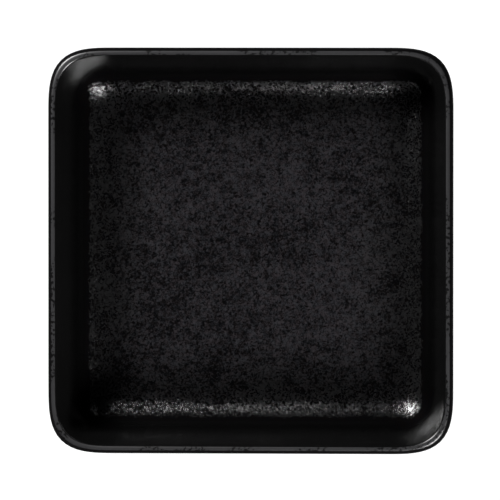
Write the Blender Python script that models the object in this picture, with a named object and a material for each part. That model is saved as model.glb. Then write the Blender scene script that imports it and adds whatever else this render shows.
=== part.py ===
"""Square deep plate: one fired clay body with the glaze coats that are fused on to it.

Blender 4.5, metres, +Z up. The origin is the middle of the plane that the foot ring stands on.

Every surface is a loft of rounded-square sections. A profile, drawn across the middle of one side,
gives each section its half width and its height, and a corner rule gives it its corner. Each profile
point keeps the direction that the clay faces there, so a coat is the same profile lifted off the clay.
"""

import math

import bmesh
import bpy
from mathutils import Matrix, Vector

# Finished plate, glaze included. The lip is round inside and over its crest, and eases into a wider
# shoulder outside
PLATE_WIDTH = 0.200
PLATE_HEIGHT = 0.045
LIP_RADIUS = 0.0017
SHOULDER_RADIUS = 0.0040
SHOULDER_START_DEG = 40.0

# Glaze coats
GLAZE_THICKNESS = 0.0004
GLAZE_CLEARANCE = 0.0001
GLAZE_LINE = 0.0015

# Clay body. The foot ring stands a setback in from where the underside turns flat
CLAY_THICKNESS = 0.0038
FOOT_HEIGHT = 0.0040
FOOT_WIDTH = 0.0050
FOOT_SETBACK = 0.0010
FOOT_EDGE_RADIUS = 0.0009
FOOT_ROOT_RADIUS = 0.0014

# Well: lean of the inner wall from the vertical, hollow radius, and how far up it the mottled coat runs
WALL_LEAN_DEG = 17.0
WELL_RADIUS = 0.0195
MOTTLED_RISE_DEG = 37.5

# Corners, as the radius of the circle that cuts each corner as deep
LIP_CORNER_RADIUS = 0.0204
WELL_CORNER_RADIUS = 0.0050
UNDERSIDE_CORNER_RADIUS = 0.0100
CORNER_POWER = 3.3

# Facets
CORNER_STEPS = 8
WELL_STEPS = 4
HOLLOW_STEPS = 3
LIP_STEPS = 4
UNDERSIDE_STEPS = 5
FOOT_STEPS = 3
SMOOTH_LIMIT_DEG = 40.0

# Colours, linear, with roughness
CLAY_FINISH = ((0.52, 0.47, 0.40), 0.85)
BLACK_FINISH = ((0.0020, 0.0020, 0.0020), 0.18)
MOTTLED_FINISH = ((0.0100, 0.0093, 0.0100), 0.32)

# Directions that a surface can face in a profile, in degrees from straight out of the plate
OUT, UP, DOWN, IN_BELOW = 0.0, 90.0, -90.0, -180.0

# Places that the sizes lead to, as half width and height
COAT_BUILD = GLAZE_CLEARANCE + GLAZE_THICKNESS
CLAY_LIP_RADIUS = LIP_RADIUS - COAT_BUILD
CLAY_SHOULDER_RADIUS = SHOULDER_RADIUS - COAT_BUILD
FLOOR_HEIGHT = FOOT_HEIGHT + CLAY_THICKNESS
INNER_WALL_FACING = 180.0 - WALL_LEAN_DEG
SHOULDER_FACING = UP - SHOULDER_START_DEG
MOTTLED_EDGE_FACING = UP + MOTTLED_RISE_DEG
BLACK_EDGE_FACING = MOTTLED_EDGE_FACING + math.degrees(GLAZE_CLEARANCE / WELL_RADIUS)


def heading(facing):
    """Unit vector of a facing in degrees."""
    return Vector((math.cos(math.radians(facing)), math.sin(math.radians(facing))))


def well_centre():
    """Centre of the hollow that joins the floor to the inner wall, which is also tangent to the lip."""
    wall = heading(INNER_WALL_FACING)
    height = FLOOR_HEIGHT + WELL_RADIUS
    along_wall = LIP_CENTRE.dot(wall) + CLAY_LIP_RADIUS + WELL_RADIUS
    return Vector(((along_wall - height * wall.y) / wall.x, height))


def outer_wall_facing(centre, radius):
    """Facing of the straight outer wall, which touches the shoulder above and the underside's curve below."""
    to_shoulder = SHOULDER_CENTRE - centre
    bearing = math.atan2(to_shoulder.y, to_shoulder.x)
    return math.degrees(bearing - math.acos((radius - CLAY_SHOULDER_RADIUS) / to_shoulder.length))


def turn(start, end, steps):
    """Facings in even steps from start to end."""
    return [start + (end - start) * step / steps for step in range(steps + 1)]


def arc(centre, radius, facings):
    """Profile points where the surface of an arc has these facings. A hollow has a negative radius."""
    return [(centre + radius * heading(facing), heading(facing)) for facing in facings]


def lifted(profile, lift):
    """The profile moved off the clay by lift."""
    return [(point + lift * facing, facing) for point, facing in profile]


SHOULDER_TO_LIP = (SHOULDER_RADIUS - LIP_RADIUS) * heading(SHOULDER_FACING)
LIP_CENTRE = Vector((PLATE_WIDTH / 2 - SHOULDER_RADIUS + SHOULDER_TO_LIP.x, PLATE_HEIGHT - LIP_RADIUS))
SHOULDER_CENTRE = LIP_CENTRE - SHOULDER_TO_LIP
WELL_CENTRE = well_centre()
UNDERSIDE_RADIUS = WELL_RADIUS + CLAY_THICKNESS
OUTER_WALL_FACING = outer_wall_facing(WELL_CENTRE, UNDERSIDE_RADIUS)
FOOT_OUTER = WELL_CENTRE.x - FOOT_SETBACK - FOOT_ROOT_RADIUS
FOOT_INNER = FOOT_OUTER - FOOT_WIDTH


def well_profile():
    """The floor's edge and the start of the hollow, which the mottled coat covers."""
    return arc(WELL_CENTRE, -WELL_RADIUS, turn(UP, MOTTLED_EDGE_FACING, WELL_STEPS))


def wall_profile():
    """Up the inner wall, over the lip and down the outside to the glaze line on the foot ring."""
    over_lip = turn(INNER_WALL_FACING, UP, LIP_STEPS)[:-1] + turn(UP, SHOULDER_FACING, LIP_STEPS // 2)
    down_shoulder = turn(SHOULDER_FACING, OUT, LIP_STEPS)[1:] + [OUTER_WALL_FACING]
    root = Vector((FOOT_OUTER + FOOT_ROOT_RADIUS, FOOT_HEIGHT - FOOT_ROOT_RADIUS))
    return [
        *arc(WELL_CENTRE, -WELL_RADIUS, turn(BLACK_EDGE_FACING, INNER_WALL_FACING, HOLLOW_STEPS)),
        *arc(LIP_CENTRE, CLAY_LIP_RADIUS, over_lip),
        *arc(SHOULDER_CENTRE, CLAY_SHOULDER_RADIUS, down_shoulder),
        *arc(WELL_CENTRE, UNDERSIDE_RADIUS, turn(OUTER_WALL_FACING, DOWN, UNDERSIDE_STEPS)),
        *arc(root, -FOOT_ROOT_RADIUS, turn(DOWN, OUT, FOOT_STEPS)),
        (Vector((FOOT_OUTER, GLAZE_LINE)), heading(OUT)),
    ]


def foot_profile():
    """The bare edge of the foot ring, below the glaze line on both sides."""
    outer = Vector((FOOT_OUTER - FOOT_EDGE_RADIUS, FOOT_EDGE_RADIUS))
    inner = Vector((FOOT_INNER + FOOT_EDGE_RADIUS, FOOT_EDGE_RADIUS))
    return [
        *arc(outer, FOOT_EDGE_RADIUS, turn(OUT, DOWN, FOOT_STEPS)),
        *arc(inner, FOOT_EDGE_RADIUS, turn(DOWN, IN_BELOW, FOOT_STEPS)),
    ]


def base_profile():
    """From the glaze line inside the foot ring up to the edge of the flat recess."""
    root = Vector((FOOT_INNER - FOOT_ROOT_RADIUS, FOOT_HEIGHT - FOOT_ROOT_RADIUS))
    return [
        (Vector((FOOT_INNER, GLAZE_LINE)), heading(IN_BELOW)),
        *arc(root, -FOOT_ROOT_RADIUS, turn(IN_BELOW, DOWN, FOOT_STEPS)),
    ]


def corner_radius(point, facing):
    """Corner radius of a section. It shrinks from the lip, faster inside the plate than outside it."""
    inside = facing.y > 0 and point.x <= LIP_CENTRE.x
    far_radius = WELL_CORNER_RADIUS if inside else UNDERSIDE_CORNER_RADIUS
    share = (LIP_CENTRE.x - point.x) / (LIP_CENTRE.x - WELL_CENTRE.x)
    return LIP_CORNER_RADIUS + share * (far_radius - LIP_CORNER_RADIUS)


def section(point, facing):
    """Points round one rounded-square section, with corners that ease into the straight sides."""
    cut = (1 - math.sqrt(0.5)) / (1 - 0.5 ** (1 / CORNER_POWER))
    reach = corner_radius(point, facing) * cut
    corner = []
    for step in range(CORNER_STEPS + 1):
        angle = math.pi / 2 * step / CORNER_STEPS
        across = abs(math.cos(angle)) ** (2 / CORNER_POWER)
        along = abs(math.sin(angle)) ** (2 / CORNER_POWER)
        corner.append(Vector((point.x - reach * (1 - across), point.x - reach * (1 - along), point.y)))
    quarter_turns = [Matrix.Rotation(math.pi / 2 * turn, 3, "Z") for turn in range(4)]
    return [turn @ place for turn in quarter_turns for place in corner]


def add_strip(mesh, ring, next_ring):
    """The band of faces between two sections, point to matching point."""
    corners = list(zip(ring, next_ring))
    for (a, b), (c, d) in zip(corners, corners[1:] + corners[:1]):
        mesh.faces.new((a, c, d, b))


def loft(name, profile, finish, capped):
    """A solid lofted along the profile. Its ends are capped flat, or else they join each other."""
    mesh = bmesh.new()
    rings = [[mesh.verts.new(place) for place in section(*step)] for step in profile]
    following = rings[1:] if capped else rings[1:] + rings[:1]
    for ring, next_ring in zip(rings, following):
        add_strip(mesh, ring, next_ring)
    if capped:
        mesh.faces.new(rings[0][::-1])
        mesh.faces.new(rings[-1])
    if mesh.calc_volume(signed=True) < 0:
        bmesh.ops.reverse_faces(mesh, faces=mesh.faces)
    data = bpy.data.meshes.new(name)
    mesh.to_mesh(data)
    mesh.free()
    data.shade_smooth()
    data.set_sharp_from_angle(angle=math.radians(SMOOTH_LIMIT_DEG))
    data.materials.append(finish)
    return bpy.data.objects.new(name, data)


def coat(name, profile, finish, capped):
    """A glaze coat over the profile: its outer face, then back along its inner face."""
    outer = lifted(profile, COAT_BUILD)
    inner = lifted(profile, GLAZE_CLEARANCE)
    return loft(name, outer + inner[::-1], finish, capped)


def finish_material(name, finish):
    """A plain material with a colour and a roughness."""
    colour, roughness = finish
    material = bpy.data.materials.new(name)
    material.use_nodes = True
    shader = material.node_tree.nodes["Principled BSDF"]
    shader.inputs["Base Color"].default_value = (*colour, 1.0)
    shader.inputs["Roughness"].default_value = roughness
    shader.inputs["Metallic"].default_value = 0.0
    return material


def clear_scene():
    for old in list(bpy.data.objects):
        bpy.data.objects.remove(old)


def main():
    clear_scene()
    clay = finish_material("fired_clay", CLAY_FINISH)
    black = finish_material("black_glaze", BLACK_FINISH)
    mottled = finish_material("mottled_glaze", MOTTLED_FINISH)

    well, wall, base = well_profile(), wall_profile(), base_profile()
    pieces = [
        loft("clay_body", well + wall[1:] + foot_profile() + base, clay, capped=True),
        coat("black_wall_glaze", wall, black, capped=False),
        coat("mottled_well_glaze", well, mottled, capped=True),
        coat("black_base_glaze", base[::-1], black, capped=True),
    ]

    collection = bpy.data.collections.new("square_deep_plate")
    bpy.context.scene.collection.children.link(collection)
    stand = bpy.data.objects.new("plate_origin", None)
    collection.objects.link(stand)
    for piece in pieces:
        collection.objects.link(piece)
        piece.parent = stand


main()
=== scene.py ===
"""Square deep plate in semi-gloss black glaze, with a mottled well and a bare foot ring.

Laid out as an add-on and run as a script. Metres, +Z up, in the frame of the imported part, with the
origin in the middle of the plane that the foot ring stands on.

Every surface is a loft of rounded-square sections. A profile, drawn across the middle of one side,
gives each section its half width and its height, and keeps the direction that the clay faces there,
so a glaze coat is the clay's own profile lifted off it.
"""

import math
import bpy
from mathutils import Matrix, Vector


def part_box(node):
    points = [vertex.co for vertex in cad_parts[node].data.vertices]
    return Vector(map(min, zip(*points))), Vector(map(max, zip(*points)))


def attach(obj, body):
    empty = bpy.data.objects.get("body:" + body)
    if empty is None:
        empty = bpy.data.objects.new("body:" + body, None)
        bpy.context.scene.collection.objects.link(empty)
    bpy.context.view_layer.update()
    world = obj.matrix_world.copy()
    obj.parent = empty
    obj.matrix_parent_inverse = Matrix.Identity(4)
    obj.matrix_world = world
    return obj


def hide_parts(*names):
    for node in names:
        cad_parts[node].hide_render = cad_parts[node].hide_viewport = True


bl_info = {
    "name": "Square Deep Plate",
    "version": (1, 0, 0),
    "blender": (4, 5, 0),
    "location": "View3D > Sidebar > Deep Plate",
    "description": "Builds a glazed square deep plate on a bare foot ring, and a small studio round it",
    "category": "Add Mesh",
}

import bmesh
import bpy
from bpy.props import FloatProperty, FloatVectorProperty, PointerProperty
from mathutils import Matrix, Vector

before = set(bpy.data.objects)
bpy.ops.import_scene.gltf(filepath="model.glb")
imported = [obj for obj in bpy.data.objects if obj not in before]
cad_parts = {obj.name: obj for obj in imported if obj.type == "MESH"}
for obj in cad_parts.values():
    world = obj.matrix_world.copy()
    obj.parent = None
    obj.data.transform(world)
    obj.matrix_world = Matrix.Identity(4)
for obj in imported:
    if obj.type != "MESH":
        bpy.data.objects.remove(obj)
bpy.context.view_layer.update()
WALL_COAT_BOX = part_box("black_wall_glaze")

# Directions that a surface can face in a profile, from straight out of the plate
QUARTER_TURN = math.pi / 2
OUT = 0.0
UP = QUARTER_TURN
DOWN = -QUARTER_TURN
IN_BELOW = -math.pi

# How finely the sections and the profiles are divided
SIDES = 4
CORNER_STEPS = 20
SIDE_STEPS = 16
WELL_STEPS = 8
HOLLOW_STEPS = 14
LIP_STEPS = 12
UNDERSIDE_STEPS = 14
FOOT_STEPS = 6

# Rings in a flat end, each as a share of the one before
FLAT_RINGS = (0.995, 0.9)

# The angle from which an edge is sharp, and the gap at which vertices merge
SHARP_FROM = math.radians(40.0)
SMALL_GAP = 1e-7

# Sizes of the spots in the glazes and in the clay
CLOUD_SIZE = 0.034
PATCH_SIZE = 0.0065
SPECK_SIZE = 0.0011
TINT_SIZE = 0.0028
STRETCH_SIZE = 0.022
FLECK_SIZE = 0.0015
GRIT_SIZE = 0.00015
GRAIN_SIZE = 0.0007
CLAY_CLOUD_SIZE = 0.012

# Depths of the grit in the mottled gloss and of the grains in the clay
GRIT_DEPTH = 0.000038
GRAIN_DEPTH = 0.0002

# Border of the mottle: how far it lies past the edge of its coat across X and along Y, its corner
# radius, how far specks and patches push it about, and half its soft edge
BORDER_PAST_ACROSS = -0.0004
BORDER_PAST_ALONG = 0.0002
BORDER_CORNER = 0.0052
SPECK_PUSH = 0.0045
PATCH_PUSH = 0.0030
BORDER_SOFT = 0.0003

# What decides between light glaze and a speck, beside the speck noise, and between which levels the
# light glaze comes in. The change is crisper within a distance of the border
PATCH_SHARE = 0.28
CLOUD_SHARE = 0.18
NEAR_SHARE = 0.025
SOFT_LIGHT = (-0.10, 0.16)
CRISP_LIGHT = (-0.08, 0.08)
CRISP_WITHIN = 0.045
TINT_STEP = (0.40, 0.60)

# Where the mauve turns plain, from the border, and where the gloss sets in, from the middle
PLAIN_STEP = (-0.042, 0.008)
PLAIN_WANDER = 0.028
GLOSS_STEP = (0.060, 0.074)
GLOSS_WANDER = 0.012

# Where the black glaze is matt: in a strip beside the border, and low in the corners of the well
STRIP_STEP = (-0.0035, -0.0012)
CORNER_STEP = (0.066, 0.072)
CORNER_HEIGHT = (0.018, 0.026)

# How far a surface has to face up to count as the inside of the plate
UPWARD_STEP = (0.0, 0.1)

# Heights between which the black glaze on the walls is painted from darker to lighter: painted shade low
# down, painted light on the upper walls
PAINTED_LIGHT_HEIGHT = (0.018, 0.031)

# The glaze on the lip, from the lip's top: its crest, where the glaze is thinner and is also painted lighter
# as a painted highlight, the flecks that bite into it, and the matt shoulder outside it, which is also placed
# from the plate's edge
CREST_STEP = (-0.00045, -0.00015)
STRETCH_STEP = (0.46, 0.62)
FLECK_STEP = (0.52, 0.60)
FLECK_BITE = 0.0009
FLECK_MATT = 0.6
THIN_GLAZE_AND_HIGHLIGHT_LEVEL = 0.70
THIN_GLAZE_AND_HIGHLIGHT_BY_CLOUD = 0.5
THIN_GLAZE_AND_HIGHLIGHT_BY_FLECK = 0.6
SHOULDER_HEIGHT = (-0.006, -0.004)
SHOULDER_INSET = (0.0012, 0.0020)

# Roughness and strength of reflection of the glazes
WALL_ROUGH = 0.21
WALL_CLOUDING = 0.03
LIP_ROUGH = 0.35
WALL_SPEC = 0.60
GLOSS_ROUGH = 0.13
GLOSS_SPEC = 1.0
GLOSS_IOR = 1.56
DULL_ROUGH = 0.5
DULL_SPEC = 0.06
SPECK_ROUGH = 0.6
SPECK_SPEC = 0.02

# The bare clay: where its grains start, their share and the clouds' share of the darker colour
GRAIN_STEP = (0.52, 0.66)
GRAIN_SHARE = 0.55
CLAY_CLOUD_SHARE = 0.25
GRAIN_STRENGTH = 0.35
CLAY_ROUGH = 0.78
GRAIN_ROUGH = 0.12

# From the middle of the lip's top to what the camera looks at
AIM_OFFSET = Vector((-0.00018, 0.00041, -0.0022))
CAMERA_CLIP = 100.0

# The floor: half its width, its matt grey, and its white, which is full some way from the plate
FLOOR_HALF = 15.0
FLOOR_MATT = 0.35
FLOOR_WHITE = 0.80
FLOOR_STEP = (0.25, 0.80)


class PlateSizes(bpy.types.PropertyGroup):
    """Sizes of the finished plate, its coats, its well and its foot ring."""

    plate_width: FloatProperty(
        name="Width",
        description="Across the plate, glaze included",
        default=WALL_COAT_BOX[1].x - WALL_COAT_BOX[0].x,
        unit="LENGTH",
    )
    plate_height: FloatProperty(
        name="Height",
        description="From the table to the top of the lip",
        default=WALL_COAT_BOX[1].z,
        unit="LENGTH",
    )
    lip_radius: FloatProperty(
        name="Lip Radius",
        description="Radius of the lip's crest and inner edge, glaze included",
        default=0.0017,
        unit="LENGTH",
    )
    shoulder_radius: FloatProperty(
        name="Shoulder Radius",
        description="Radius of the lip's outer shoulder, glaze included",
        default=0.0040,
        unit="LENGTH",
    )
    shoulder_start: FloatProperty(
        name="Shoulder Start",
        description="Turn from the top of the lip to where the shoulder starts",
        default=math.radians(40.0),
        subtype="ANGLE",
    )
    glaze_thickness: FloatProperty(
        name="Glaze Thickness",
        description="Thickness of each glaze coat",
        default=0.0004,
        unit="LENGTH",
    )
    glaze_gap: FloatProperty(
        name="Glaze Gap",
        description="Gap that keeps a coat off the clay and off the next coat",
        default=0.0001,
        unit="LENGTH",
    )
    glaze_line: FloatProperty(
        name="Glaze Line",
        description="Height on the foot ring where the glaze was wiped off",
        default=WALL_COAT_BOX[0].z,
        unit="LENGTH",
    )
    clay_thickness: FloatProperty(
        name="Clay Thickness",
        description="Thickness of the clay in the floor and the hollow",
        default=0.0038,
        unit="LENGTH",
    )
    wall_lean: FloatProperty(
        name="Wall Lean",
        description="Lean of the inner wall from the vertical",
        default=math.radians(17.0),
        subtype="ANGLE",
    )
    well_radius: FloatProperty(
        name="Hollow Radius",
        description="Radius of the hollow in the clay between the floor and the wall",
        default=0.0195,
        unit="LENGTH",
    )
    mottled_rise: FloatProperty(
        name="Mottled Rise",
        description="How far up the hollow the mottled coat runs",
        default=math.radians(37.5),
        subtype="ANGLE",
    )
    lip_corner: FloatProperty(
        name="Lip Corner",
        description="Radius of the circle that cuts a corner of the lip as deep",
        default=0.0204,
        unit="LENGTH",
    )
    well_corner: FloatProperty(
        name="Well Corner",
        description="Radius of the circle that cuts a corner of the floor as deep",
        default=0.0050,
        unit="LENGTH",
    )
    underside_corner: FloatProperty(
        name="Underside Corner",
        description="Radius of the circle that cuts a corner of the underside as deep",
        default=0.0100,
        unit="LENGTH",
    )
    corner_power: FloatProperty(
        name="Corner Power",
        description="How squarely a corner eases into its sides, where 2 is a circle",
        default=3.3,
    )
    foot_height: FloatProperty(
        name="Foot Height",
        description="From the table to the clay of the recess inside the foot ring",
        default=0.0040,
        unit="LENGTH",
    )
    foot_width: FloatProperty(
        name="Foot Width",
        description="Across the clay of the foot ring",
        default=0.0050,
        unit="LENGTH",
    )
    foot_setback: FloatProperty(
        name="Foot Setback",
        description="From where the underside turns flat to the root of the foot ring",
        default=0.0010,
        unit="LENGTH",
    )
    foot_edge: FloatProperty(
        name="Foot Edge",
        description="Radius on the edges of the foot ring",
        default=0.0009,
        unit="LENGTH",
    )
    foot_root: FloatProperty(
        name="Foot Root",
        description="Radius in the roots of the foot ring",
        default=0.0014,
        unit="LENGTH",
    )


class PlateColours(bpy.types.PropertyGroup):
    """Colours of the glazes and of the bare clay."""

    black: FloatVectorProperty(
        name="Black Glaze",
        description="Semi-gloss black of the walls and the recess",
        default=(0.0010, 0.0010, 0.0010),
        subtype="COLOR",
    )
    # Painted light: a lighter black painted on the upper walls, so that the lower walls read darker as if in
    # shade
    upper_wall_painted_light: FloatVectorProperty(
        name="Thin Black",
        description="Where the black glaze has run thinner on the upper walls",
        default=(0.0038, 0.0038, 0.0038),
        subtype="COLOR",
    )
    # Grey of the thinner glaze on the lip's crest, painted lighter so that it also stands as a painted
    # highlight
    lip: FloatVectorProperty(
        name="Lip",
        description="Where the black glaze thins over the lip",
        default=(0.0300, 0.0295, 0.0310),
        subtype="COLOR",
    )
    plain_grey: FloatVectorProperty(
        name="Plain Grey",
        description="Light part of the mottled glaze near its border",
        default=(0.0145, 0.0145, 0.0145),
        subtype="COLOR",
    )
    mauve_grey: FloatVectorProperty(
        name="Mauve Grey",
        description="Light part of the mottled glaze in the middle",
        default=(0.0230, 0.0203, 0.0226),
        subtype="COLOR",
    )
    blue_grey: FloatVectorProperty(
        name="Blue Grey",
        description="Where the light part of the mottled glaze turns slightly blue",
        default=(0.0212, 0.0209, 0.0236),
        subtype="COLOR",
    )
    brown_speck: FloatVectorProperty(
        name="Brown Speck",
        description="Matt specks in the mottled glaze, slightly brown",
        default=(0.0017, 0.0013, 0.0014),
        subtype="COLOR",
    )
    blue_speck: FloatVectorProperty(
        name="Blue Speck",
        description="Matt specks in the mottled glaze, slightly blue",
        default=(0.0014, 0.0013, 0.0017),
        subtype="COLOR",
    )
    clay: FloatVectorProperty(
        name="Bare Clay",
        description="Bare clay of the foot ring",
        default=(0.52, 0.47, 0.40),
        subtype="COLOR",
    )
    clay_grain: FloatVectorProperty(
        name="Clay Grain",
        description="Darker grains in the bare clay",
        default=(0.34, 0.28, 0.22),
        subtype="COLOR",
    )


class StudioSettings(bpy.types.PropertyGroup):
    """Camera, softboxes and floor."""

    camera_distance: FloatProperty(
        name="Camera Distance",
        description="From the camera to the lip",
        default=5.0,
        unit="LENGTH",
    )
    frame_width: FloatProperty(
        name="Frame Width",
        description="Width that the picture takes in at the lip",
        default=0.2461,
        unit="LENGTH",
    )
    camera_right: FloatProperty(
        name="Camera Right",
        description="How far the camera is swung from straight above towards +X",
        default=math.radians(4.40),
        subtype="ANGLE",
    )
    camera_up: FloatProperty(
        name="Camera Up",
        description="How far the camera is swung from straight above towards +Y",
        default=math.radians(1.73),
        subtype="ANGLE",
    )
    softbox_width: FloatProperty(
        name="Softbox Width",
        description="Along the level side of each oval softbox",
        default=0.35,
        unit="LENGTH",
    )
    softbox_height: FloatProperty(
        name="Softbox Height",
        description="Across each oval softbox from bottom to top",
        default=0.145,
        unit="LENGTH",
    )
    softbox_distance: FloatProperty(
        name="Softbox Distance",
        description="From the plate to each softbox",
        default=0.787,
        unit="LENGTH",
    )
    softbox_slant: FloatProperty(
        name="Softbox Slant",
        description="How far each softbox stands from straight above",
        default=math.radians(56.8),
        subtype="ANGLE",
    )
    left_bearing: FloatProperty(
        name="Left Softbox Bearing",
        description="Angle of the softbox on the left, up from the -X axis",
        default=math.radians(46.5),
        subtype="ANGLE",
    )
    right_bearing: FloatProperty(
        name="Right Softbox Bearing",
        description="Angle of the softbox on the right, down from the +X axis",
        default=math.radians(54.0),
        subtype="ANGLE",
    )
    softbox_power: FloatProperty(
        name="Softbox Power",
        description="Power of both softboxes together",
        default=14.6,
        unit="POWER",
    )
    softbox_balance: FloatProperty(
        name="Softbox Balance",
        description="Share of that power in the softbox on the left",
        default=0.52,
    )
    room_light: FloatProperty(
        name="Room Light",
        description="Level of the plain room round the softboxes",
        default=0.007,
    )


class PlateForm:
    """Profiles and sections of the plate, worked out from its sizes."""

    def __init__(self, sizes):
        self.sizes = sizes
        self.coat_build = sizes.glaze_gap + sizes.glaze_thickness
        self.clay_lip_radius = sizes.lip_radius - self.coat_build
        self.clay_shoulder_radius = sizes.shoulder_radius - self.coat_build
        self.shoulder_facing = UP - sizes.shoulder_start
        to_lip = (sizes.shoulder_radius - sizes.lip_radius) * heading(self.shoulder_facing)
        lip_reach = sizes.plate_width / 2 - sizes.shoulder_radius + to_lip.x
        self.lip_centre = Vector((lip_reach, sizes.plate_height - sizes.lip_radius))
        self.shoulder_centre = self.lip_centre - to_lip
        self.inner_wall = math.pi - sizes.wall_lean
        self.mottled_edge = UP + sizes.mottled_rise
        self.black_edge = self.mottled_edge + sizes.glaze_gap / sizes.well_radius
        self.well_centre = self.find_well_centre()
        self.underside_radius = sizes.well_radius + sizes.clay_thickness
        self.outer_wall = self.find_outer_wall()
        self.foot_outer = self.well_centre.x - sizes.foot_setback - sizes.foot_root
        self.foot_inner = self.foot_outer - sizes.foot_width
        glazed_hollow = sizes.well_radius - self.coat_build
        self.mottled_half = self.well_centre.x + glazed_hollow * math.sin(sizes.mottled_rise)

    def find_well_centre(self):
        """Centre of the hollow, which touches the floor and the wall that runs down from the lip."""
        sizes = self.sizes
        wall = heading(self.inner_wall)
        height = sizes.foot_height + sizes.clay_thickness + sizes.well_radius
        along_wall = self.lip_centre.dot(wall) + self.clay_lip_radius + sizes.well_radius
        return Vector(((along_wall - height * wall.y) / wall.x, height))

    def find_outer_wall(self):
        """Facing of the straight outer wall, which touches the shoulder and the underside's curve."""
        to_shoulder = self.shoulder_centre - self.well_centre
        bearing = math.atan2(to_shoulder.y, to_shoulder.x)
        return bearing - math.acos((self.underside_radius - self.clay_shoulder_radius) / to_shoulder.length)

    def well_profile(self):
        """The floor's edge and the start of the hollow, which the mottled coat covers."""
        return arc(self.well_centre, -self.sizes.well_radius, turn(UP, self.mottled_edge, WELL_STEPS))

    def wall_profile(self):
        """Up the inner wall, over the lip and down the outside to the glaze line on the foot ring."""
        sizes = self.sizes
        over_lip = turn(self.inner_wall, UP, LIP_STEPS)[:-1] + turn(UP, self.shoulder_facing, LIP_STEPS)
        down_shoulder = turn(self.shoulder_facing, OUT, LIP_STEPS)[1:] + [self.outer_wall]
        root = Vector((self.foot_outer + sizes.foot_root, sizes.foot_height - sizes.foot_root))
        return [
            *arc(self.well_centre, -sizes.well_radius, turn(self.black_edge, self.inner_wall, HOLLOW_STEPS)),
            *arc(self.lip_centre, self.clay_lip_radius, over_lip),
            *arc(self.shoulder_centre, self.clay_shoulder_radius, down_shoulder),
            *arc(self.well_centre, self.underside_radius, turn(self.outer_wall, DOWN, UNDERSIDE_STEPS)),
            *arc(root, -sizes.foot_root, turn(DOWN, OUT, FOOT_STEPS)),
            (Vector((self.foot_outer, sizes.glaze_line)), heading(OUT)),
        ]

    def foot_profile(self):
        """The bare edge of the foot ring, below the glaze line on both sides."""
        edge = self.sizes.foot_edge
        return [
            *arc(Vector((self.foot_outer - edge, edge)), edge, turn(OUT, DOWN, FOOT_STEPS)),
            *arc(Vector((self.foot_inner + edge, edge)), edge, turn(DOWN, IN_BELOW, FOOT_STEPS)),
        ]

    def base_profile(self):
        """From the glaze line inside the foot ring up to the edge of the flat recess."""
        sizes = self.sizes
        root = Vector((self.foot_inner - sizes.foot_root, sizes.foot_height - sizes.foot_root))
        return [
            (Vector((self.foot_inner, sizes.glaze_line)), heading(IN_BELOW)),
            *arc(root, -sizes.foot_root, turn(IN_BELOW, DOWN, FOOT_STEPS)),
        ]

    def coat(self, profile):
        """A coat's profile: its outer face, then back along its inner face."""
        outer = [(point + self.coat_build * facing, facing) for point, facing in profile]
        inner = [(point + self.sizes.glaze_gap * facing, facing) for point, facing in profile]
        return outer + inner[::-1]

    def corner_radius(self, point, facing):
        """Corner radius of a section. It shrinks from the lip, faster inside the plate than outside."""
        sizes = self.sizes
        inside = facing.y > 0 and point.x <= self.lip_centre.x
        far_radius = sizes.well_corner if inside else sizes.underside_corner
        share = (self.lip_centre.x - point.x) / (self.lip_centre.x - self.well_centre.x)
        return sizes.lip_corner + share * (far_radius - sizes.lip_corner)

    def corner_reach(self, radius):
        """How far along a side an eased corner starts, to cut as deep as a circle of this radius."""
        return radius * (1 - math.sqrt(0.5)) / (1 - 0.5 ** (1 / self.sizes.corner_power))

    def section(self, point, facing):
        """Places round one rounded-square section, with corners that ease into the straight sides."""
        power = self.sizes.corner_power
        reach = self.corner_reach(self.corner_radius(point, facing))
        quarter = []
        for step in range(CORNER_STEPS + 1):
            across = math.cos(QUARTER_TURN * step / CORNER_STEPS)
            along = math.sin(QUARTER_TURN * step / CORNER_STEPS)
            spread = (abs(across) ** power + abs(along) ** power) ** (1 / power)
            corner = Vector((across, along)) / spread - Vector((1.0, 1.0))
            quarter.append(Vector((point.x, point.x)) + reach * corner)
        side_end = Vector((-quarter[-1].x, quarter[-1].y))
        quarter += [quarter[-1].lerp(side_end, step / SIDE_STEPS) for step in range(1, SIDE_STEPS)]
        places = [place.to_3d() + Vector((0.0, 0.0, point.y)) for place in quarter]
        turns = [Matrix.Rotation(QUARTER_TURN * side, 3, "Z") for side in range(SIDES)]
        return [turn_to_side @ place for turn_to_side in turns for place in places]


def heading(facing):
    """Unit vector of a facing."""
    return Vector((math.cos(facing), math.sin(facing)))


def turn(start, end, steps):
    """Facings in even steps from start to end."""
    return [start + (end - start) * step / steps for step in range(steps + 1)]


def arc(centre, radius, facings):
    """Profile points where the surface of an arc has these facings. A hollow has a negative radius."""
    return [(centre + radius * heading(facing), heading(facing)) for facing in facings]


def extrude_ring(mesh, edges):
    """Extrudes a ring of edges and returns the new ring's vertices and edges."""
    made = bmesh.ops.extrude_edge_only(mesh, edges=edges)["geom"]
    verts = [part for part in made if isinstance(part, bmesh.types.BMVert)]
    return verts, [part for part in made if isinstance(part, bmesh.types.BMEdge)]


def draw_section(verts, spoke, places):
    """Moves a ring of vertices to the places of a section."""
    for vert in verts:
        vert.co = places[vert[spoke]]


def fill_flat(mesh, edges):
    """Fills a flat end with rings that keep its rim's shading level, and a face in the middle."""
    for share in FLAT_RINGS:
        verts, edges = extrude_ring(mesh, edges)
        bmesh.ops.scale(mesh, vec=(share, share, 1.0), verts=verts)
    bmesh.ops.contextual_create(mesh, geom=edges)


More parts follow.
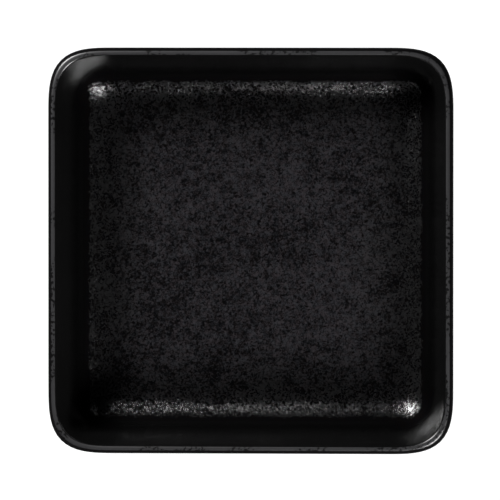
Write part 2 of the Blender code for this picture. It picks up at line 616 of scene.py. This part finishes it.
def loft(form, profile, flat_ends):
    """A closed mesh that follows the profile. Its ends are filled flat, or else they meet."""
    mesh = bmesh.new()
    spoke = mesh.verts.layers.int.new("spoke")
    spokes = SIDES * (CORNER_STEPS + SIDE_STEPS)
    verts = bmesh.ops.create_circle(mesh, cap_ends=False, segments=spokes, radius=1.0)["verts"]
    for number, vert in enumerate(verts):
        vert[spoke] = number
    draw_section(verts, spoke, form.section(*profile[0]))
    first_edges = edges = mesh.edges[:]
    for step in profile[1:] if flat_ends else profile[1:] + profile[:1]:
        verts, edges = extrude_ring(mesh, edges)
        draw_section(verts, spoke, form.section(*step))
    if flat_ends:
        fill_flat(mesh, first_edges)
        fill_flat(mesh, edges)
    bmesh.ops.remove_doubles(mesh, verts=mesh.verts, dist=SMALL_GAP)
    bmesh.ops.recalc_face_normals(mesh, faces=mesh.faces)
    if mesh.calc_volume(signed=True) < 0:
        bmesh.ops.reverse_faces(mesh, faces=mesh.faces)
    mesh.verts.layers.int.remove(mesh.verts.layers.int["spoke"])
    return mesh


def place_piece(name, mesh, material, node):
    """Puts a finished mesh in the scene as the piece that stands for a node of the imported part."""
    data = bpy.data.meshes.new(name)
    mesh.to_mesh(data)
    mesh.free()
    data.shade_smooth()
    data.set_sharp_from_angle(angle=SHARP_FROM)
    data.materials.append(material)
    piece = bpy.data.objects.new(name, data)
    bpy.context.scene.collection.objects.link(piece)
    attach(piece, "root")
    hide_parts(node)


class Wire:
    """A shader value. Arithmetic on it adds Math nodes to its finish."""

    def __init__(self, finish, socket):
        self.finish = finish
        self.socket = socket

    def __add__(self, other):
        return self.finish.math("ADD", self, other)

    def __sub__(self, other):
        return self.finish.math("SUBTRACT", self, other)

    def __rsub__(self, other):
        return self.finish.math("SUBTRACT", other, self)

    def __mul__(self, other):
        return self.finish.math("MULTIPLY", self, other)

    def __pow__(self, other):
        return self.finish.math("POWER", self, other)

    def __abs__(self):
        return self.finish.math("ABSOLUTE", self, 0.0)

    __radd__ = __add__
    __rmul__ = __mul__


class Finish:
    """A material's nodes while they are put together."""

    def __init__(self, name):
        self.material = bpy.data.materials.new(name)
        self.material.use_nodes = True
        self.tree = self.material.node_tree
        self.tree.nodes.clear()

    def add(self, kind, settings=None, inputs=None, output=0):
        """Adds a node, sets its settings, then fills or links its sockets, and returns one output."""
        node = self.tree.nodes.new(kind)
        for name, value in (settings or {}).items():
            setattr(node, name, value)
        for name, value in (inputs or {}).items():
            if isinstance(value, Wire):
                self.tree.links.new(value.socket, node.inputs[name])
            else:
                node.inputs[name].default_value = value
        return Wire(self, node.outputs[output]) if node.outputs else None

    def math(self, operation, first, second):
        """A Math node on two values."""
        return self.add("ShaderNodeMath", {"operation": operation}, {0: first, 1: second})

    def place(self):
        """Object coordinates, and their three parts."""
        place = self.add("ShaderNodeTexCoord", output="Object")
        parts = [self.add("ShaderNodeSeparateXYZ", inputs={0: place}, output=axis) for axis in range(3)]
        return place, *parts

    def noise(self, place, size, detail=2.0, roughness=0.5, distortion=0.0):
        """Soft noise whose largest spots are about this size, from 0 to 1."""
        inputs = {
            "Vector": place,
            "Scale": 1.0 / size,
            "Detail": detail,
            "Roughness": roughness,
            "Distortion": distortion,
        }
        return self.add("ShaderNodeTexNoise", inputs=inputs)

    def step(self, value, low, high):
        """Smooth step from 0 at low to 1 at high."""
        inputs = {"Value": value, "From Min": low, "From Max": high}
        return self.add("ShaderNodeMapRange", {"interpolation_type": "SMOOTHSTEP"}, inputs)

    def ramp(self, value, low, high):
        """Straight ramp from 0 at low to 1 at high."""
        return self.add("ShaderNodeMapRange", inputs={"Value": value, "From Min": low, "From Max": high})

    def blend(self, share, first, second):
        """Mixes two colours, where share 0 is the first."""
        return self.add("ShaderNodeMix", {"data_type": "RGBA"}, {0: share, 6: first, 7: second}, output=2)

    def mix(self, share, first, second):
        """Mixes two shaders, where share 0 is the first."""
        return self.add("ShaderNodeMixShader", inputs={0: share, 1: first, 2: second})

    def shader(self, inputs):
        """A surface shader with these inputs."""
        return self.add("ShaderNodeBsdfPrincipled", inputs=inputs)

    def surface(self, shader):
        """Ends the nodes in a shader and returns the material."""
        self.add("ShaderNodeOutputMaterial", inputs={"Surface": shader})
        return self.material


def opaque(colour):
    """A colour with full opacity."""
    return (*colour, 1.0)


def grey(level):
    """A plain grey with full opacity."""
    return (level, level, level, 1.0)


class PlateGlaze(Finish):
    """Black glaze that thins over the lip, where its grey is also a painted highlight, and is painted lighter
    on the upper walls as painted light, and, in the well, grey glaze crowded with matt specks.
    """

    def __init__(self, name, colours, form):
        super().__init__(name)
        self.colours = colours
        self.form = form
        self.spot, self.across, self.along, self.height = self.place()
        self.farther = self.math("MAXIMUM", abs(self.across), abs(self.along))
        self.cloud = self.noise(self.spot, CLOUD_SIZE) - 0.5
        self.patch = self.noise(self.spot, PATCH_SIZE, detail=1.0, roughness=1.0) - 0.5
        self.specks = self.noise(self.spot, SPECK_SIZE, detail=1.5, roughness=0.8, distortion=0.9) - 0.5
        self.tint = self.step(self.noise(self.spot, TINT_SIZE, detail=1.0), *TINT_STEP)
        facing = self.add("ShaderNodeTexCoord", output="Normal")
        upward = self.add("ShaderNodeSeparateXYZ", inputs={0: facing}, output="Z")
        self.upward = self.step(upward, *UPWARD_STEP)
        half_across = form.mottled_half + BORDER_PAST_ACROSS
        half_along = form.mottled_half + BORDER_PAST_ALONG
        self.border = self.inset(half_across, half_along, BORDER_CORNER, 2.0)

    def inset(self, half_across, half_along, corner, power):
        """How far inside a rounded rectangle a place is, in plan."""
        past_across = self.math("MAXIMUM", abs(self.across) - (half_across - corner), 0.0)
        past_along = self.math("MAXIMUM", abs(self.along) - (half_along - corner), 0.0)
        return corner - (past_across ** power + past_along ** power) ** (1 / power)

    def mottled(self, matt):
        """Grey glaze, dull in the middle and glossy towards its border, with matt specks in it."""
        from_border = self.farther - self.form.mottled_half
        near = self.step(from_border, -CRISP_WITHIN, 0.0)
        amount = self.specks + PATCH_SHARE * self.patch + CLOUD_SHARE * self.cloud - NEAR_SHARE * near
        soft = self.ramp(amount, *SOFT_LIGHT)
        crisp = self.ramp(amount, *CRISP_LIGHT)
        light = soft + near * (crisp - soft)
        mauve = self.blend(self.tint, opaque(self.colours.mauve_grey), opaque(self.colours.blue_grey))
        plain = self.step(from_border + PLAIN_WANDER * self.cloud, *PLAIN_STEP)
        colour = self.blend(plain, mauve, opaque(self.colours.plain_grey))
        grit = self.noise(self.spot, GRIT_SIZE, detail=0.0, distortion=0.8)
        gloss_inputs = {
            "Base Color": colour,
            "Roughness": GLOSS_ROUGH,
            "IOR": GLOSS_IOR,
            "Specular IOR Level": GLOSS_SPEC,
            "Normal": self.add("ShaderNodeBump", inputs={"Distance": GRIT_DEPTH, "Height": grit}),
        }
        gloss = self.shader(gloss_inputs)
        dull = self.shader({"Base Color": colour, "Roughness": DULL_ROUGH, "Specular IOR Level": DULL_SPEC})
        glossy = self.step(self.farther + GLOSS_WANDER * self.cloud, *GLOSS_STEP)
        return self.mix(light, matt, self.mix(glossy, dull, gloss))

    def in_well(self):
        """1 inside the mottle's ragged border, where the glaze faces up."""
        ragged = self.border + SPECK_PUSH * self.specks + PATCH_PUSH * self.patch
        return self.step(ragged, -BORDER_SOFT, BORDER_SOFT) * self.upward

    def pooled(self):
        """1 where the black glaze is matt, beside the mottle's border and low in the corners."""
        nearer = self.math("MINIMUM", abs(self.across), abs(self.along))
        corner = self.step(nearer, *CORNER_STEP) * (1 - self.step(self.height, *CORNER_HEIGHT))
        return self.math("MAXIMUM", corner, self.step(self.border, *STRIP_STEP)) * self.upward

    def black(self, crest, thin_glaze_and_highlight):
        """Semi-gloss black glaze, painted darker low on the walls and lighter on the upper walls as painted
        shade and light, and grey on the lip, where the glaze is thinner and the grey is also a painted
        highlight.
        """
        # Painted shade and light: the walls are painted darker low down and lighter higher up
        painted_light_share = self.step(self.height, *PAINTED_LIGHT_HEIGHT)
        colour = self.blend(painted_light_share, opaque(self.colours.black), opaque(self.colours.upper_wall_painted_light))
        # Painted highlight: the lip's crest takes the lip grey, which is thinner glaze and also a painted
        # highlight
        colour = self.blend(thin_glaze_and_highlight, colour, opaque(self.colours.lip))
        rough = WALL_ROUGH + WALL_CLOUDING * self.cloud + (LIP_ROUGH - WALL_ROUGH) * crest
        return self.shader({"Base Color": colour, "Roughness": rough, "Specular IOR Level": WALL_SPEC})

    def speck(self):
        """Matt glaze, nearly black and slightly brown or blue."""
        colour = self.blend(self.tint, opaque(self.colours.brown_speck), opaque(self.colours.blue_speck))
        return self.shader({"Base Color": colour, "Roughness": SPECK_ROUGH, "Specular IOR Level": SPECK_SPEC})

    def finished(self):
        """Lays the glazes side by side and returns the material."""
        sizes = self.form.sizes
        half = sizes.plate_width / 2
        from_top = self.height - sizes.plate_height
        fleck = self.noise(self.spot, FLECK_SIZE, detail=1.0)
        flecked = self.step(self.noise(self.spot, STRETCH_SIZE, detail=1.0), *STRETCH_STEP)
        crest = self.step(from_top, *CREST_STEP)
        unbitten_crest = self.step(from_top - FLECK_BITE * flecked * self.step(fleck, *FLECK_STEP), *CREST_STEP)
        # Painted highlight: the grey on the lip's crest is thinner glaze and is also painted lighter in place
        # of a highlight
        thin_glaze_and_highlight = unbitten_crest * (THIN_GLAZE_AND_HIGHLIGHT_LEVEL + THIN_GLAZE_AND_HIGHLIGHT_BY_CLOUD * self.cloud + THIN_GLAZE_AND_HIGHLIGHT_BY_FLECK * fleck)
        rim = self.inset(half, half, self.form.corner_reach(sizes.lip_corner), sizes.corner_power)
        shoulder = (1 - self.step(rim, *SHOULDER_INSET)) * (1 - crest)
        shoulder = shoulder * self.step(from_top, *SHOULDER_HEIGHT)
        bare = self.math("MAXIMUM", shoulder, FLECK_MATT * crest * (1 - unbitten_crest))
        matt = self.speck()
        walls = self.mix(self.pooled(), self.black(crest, thin_glaze_and_highlight), matt)
        inside = self.mix(self.in_well(), walls, self.mottled(matt))
        return self.surface(self.mix(bare, inside, matt))


def bare_clay(colours):
    """Matt vitrified clay with fine darker grains."""
    finish = Finish("bare_clay")
    spot, _, _, _ = finish.place()
    grain = finish.step(finish.noise(spot, GRAIN_SIZE, detail=3.0, roughness=0.6), *GRAIN_STEP)
    dark = GRAIN_SHARE * grain + CLAY_CLOUD_SHARE * finish.noise(spot, CLAY_CLOUD_SIZE)
    shade = finish.blend(dark, opaque(colours.clay), opaque(colours.clay_grain))
    relief = {"Strength": GRAIN_STRENGTH, "Distance": GRAIN_DEPTH, "Height": grain}
    clay = {
        "Base Color": shade,
        "Roughness": CLAY_ROUGH + GRAIN_ROUGH * grain,
        "Normal": finish.add("ShaderNodeBump", inputs=relief),
    }
    return finish.surface(finish.shader(clay))


def studio_floor():
    """White where it is looked at or mirrored, with a plain matt part that keeps the plate's shadow."""
    finish = Finish("studio_floor")
    seen = finish.add("ShaderNodeLightPath", output="Is Camera Ray")
    for ray in ("Is Glossy Ray", "Is Transmission Ray"):
        seen = finish.math("MAXIMUM", seen, finish.add("ShaderNodeLightPath", output=ray))
    _, across, along, _ = finish.place()
    far = finish.step(finish.math("MAXIMUM", abs(across), abs(along)), *FLOOR_STEP)
    matt = finish.add("ShaderNodeBsdfDiffuse", inputs={"Color": grey(FLOOR_MATT)})
    glow = finish.blend(far, grey(FLOOR_WHITE), grey(1.0))
    white = finish.add("ShaderNodeEmission", inputs={"Color": glow})
    lit = finish.add("ShaderNodeAddShader", inputs={0: matt, 1: white})
    return finish.surface(finish.mix(seen, matt, lit))


def plate_form(context):
    """The plate's form at the scene's sizes."""
    return PlateForm(context.scene.plate_sizes)


class PLATE_OT_clay_body(bpy.types.Operator):
    """Adds the fired clay body with its bare foot ring"""

    bl_idname = "plate.clay_body"
    bl_label = "Clay Body"

    def execute(self, context):
        form = plate_form(context)
        inside = form.well_profile() + form.wall_profile()[1:]
        mesh = loft(form, inside + form.foot_profile() + form.base_profile(), flat_ends=True)
        material = bare_clay(context.scene.plate_colours)
        place_piece("clay_body_and_foot", mesh, material, "clay_body")
        return {"FINISHED"}


class PLATE_OT_wall_coat(bpy.types.Operator):
    """Adds the black coat on the walls, the lip and the outside"""

    bl_idname = "plate.wall_coat"
    bl_label = "Wall Coat"

    def execute(self, context):
        form = plate_form(context)
        mesh = loft(form, form.coat(form.wall_profile()), flat_ends=False)
        material = PlateGlaze("black_wall_glaze", context.scene.plate_colours, form).finished()
        place_piece("black_wall_coat", mesh, material, "black_wall_glaze")
        return {"FINISHED"}


class PLATE_OT_well_coat(bpy.types.Operator):
    """Adds the mottled coat on the floor of the well"""

    bl_idname = "plate.well_coat"
    bl_label = "Well Coat"

    def execute(self, context):
        form = plate_form(context)
        mesh = loft(form, form.coat(form.well_profile()), flat_ends=True)
        material = PlateGlaze("mottled_well_glaze", context.scene.plate_colours, form).finished()
        place_piece("mottled_well_coat", mesh, material, "mottled_well_glaze")
        return {"FINISHED"}


class PLATE_OT_base_coat(bpy.types.Operator):
    """Adds the black coat in the recess inside the foot ring"""

    bl_idname = "plate.base_coat"
    bl_label = "Base Coat"

    def execute(self, context):
        form = plate_form(context)
        mesh = loft(form, form.coat(form.base_profile()[::-1]), flat_ends=True)
        material = PlateGlaze("black_base_glaze", context.scene.plate_colours, form).finished()
        place_piece("black_base_coat", mesh, material, "black_base_glaze")
        return {"FINISHED"}


class PLATE_OT_stage(bpy.types.Operator):
    """Adds the camera, the two softboxes, the room and the floor"""

    bl_idname = "plate.stage"
    bl_label = "Studio"

    def execute(self, context):
        studio = context.scene.plate_studio
        lip_top = Vector((0.0, 0.0, context.scene.plate_sizes.plate_height))
        self.add_camera(context, studio, lip_top + AIM_OFFSET)
        left_power = studio.softbox_power * studio.softbox_balance
        right_power = studio.softbox_power - left_power
        self.add_softbox(context, studio, "softbox_right", right_power, -studio.right_bearing)
        self.add_softbox(context, studio, "softbox_left", left_power, math.pi - studio.left_bearing)
        self.add_floor(context)
        world = bpy.data.worlds.new("plain_room")
        world.use_nodes = True
        world.node_tree.nodes["Background"].inputs["Strength"].default_value = studio.room_light
        world.node_tree.nodes["Background"].inputs["Color"].default_value = grey(1.0)
        context.scene.world = world
        context.scene.view_settings.view_transform = "Standard"
        return {"FINISHED"}

    def add_camera(self, context, studio, aim):
        """Adds the camera above the plate, swung slightly to the side."""
        back = Vector((math.tan(studio.camera_right), math.tan(studio.camera_up), 1.0)).normalized()
        right = Vector((0.0, 1.0, 0.0)).cross(back).normalized()
        turned = Matrix((right, back.cross(right), back)).transposed().to_4x4()
        data = bpy.data.cameras.new("camera")
        data.sensor_width = 36.0
        data.lens = data.sensor_width * studio.camera_distance / studio.frame_width
        data.clip_end = CAMERA_CLIP
        camera = bpy.data.objects.new("camera", data)
        camera.matrix_world = Matrix.Translation(aim + studio.camera_distance * back) @ turned
        context.scene.collection.objects.link(camera)
        context.scene.camera = camera

    def add_softbox(self, context, studio, name, power, bearing):
        """Adds an oval softbox that faces the plate."""
        data = bpy.data.lights.new(name, "AREA")
        data.shape = "ELLIPSE"
        data.size = studio.softbox_width
        data.size_y = studio.softbox_height
        data.energy = power
        flat = math.sin(studio.softbox_slant)
        back = Vector((flat * math.cos(bearing), flat * math.sin(bearing), math.cos(studio.softbox_slant)))
        softbox = bpy.data.objects.new(data.name, data)
        softbox.location = studio.softbox_distance * back
        softbox.rotation_euler = (-back).to_track_quat("-Z", "Y").to_euler()
        context.scene.collection.objects.link(softbox)

    def add_floor(self, context):
        """Adds the floor that the plate stands on."""
        mesh = bmesh.new()
        bmesh.ops.create_grid(mesh, x_segments=1, y_segments=1, size=FLOOR_HALF)
        data = bpy.data.meshes.new("studio_floor")
        mesh.to_mesh(data)
        mesh.free()
        data.materials.append(studio_floor())
        floor = bpy.data.objects.new("studio_floor", data)
        context.scene.collection.objects.link(floor)


OPERATORS = (
    PLATE_OT_clay_body,
    PLATE_OT_wall_coat,
    PLATE_OT_well_coat,
    PLATE_OT_base_coat,
    PLATE_OT_stage,
)


class PLATE_PT_sidebar(bpy.types.Panel):
    """Sizes, colours and buttons of the plate"""

    bl_idname = "PLATE_PT_sidebar"
    bl_label = "Square Deep Plate"
    bl_space_type = "VIEW_3D"
    bl_region_type = "UI"
    bl_category = "Deep Plate"

    def draw(self, context):
        for group in (context.scene.plate_sizes, context.scene.plate_colours, context.scene.plate_studio):
            box = self.layout.box()
            for name in group.__annotations__:
                box.prop(group, name)
        for operator in OPERATORS:
            self.layout.operator(operator.bl_idname)


CLASSES = (PlateSizes, PlateColours, StudioSettings, *OPERATORS, PLATE_PT_sidebar)


def register():
    for kind in CLASSES:
        bpy.utils.register_class(kind)
    bpy.types.Scene.plate_sizes = PointerProperty(type=PlateSizes)
    bpy.types.Scene.plate_colours = PointerProperty(type=PlateColours)
    bpy.types.Scene.plate_studio = PointerProperty(type=StudioSettings)


def unregister():
    del bpy.types.Scene.plate_studio
    del bpy.types.Scene.plate_colours
    del bpy.types.Scene.plate_sizes
    for kind in reversed(CLASSES):
        bpy.utils.unregister_class(kind)


def main():
    register()
    bpy.ops.plate.clay_body()
    bpy.ops.plate.wall_coat()
    bpy.ops.plate.well_coat()
    bpy.ops.plate.base_coat()
    bpy.ops.plate.stage()


if __name__ == "__main__":
    main()
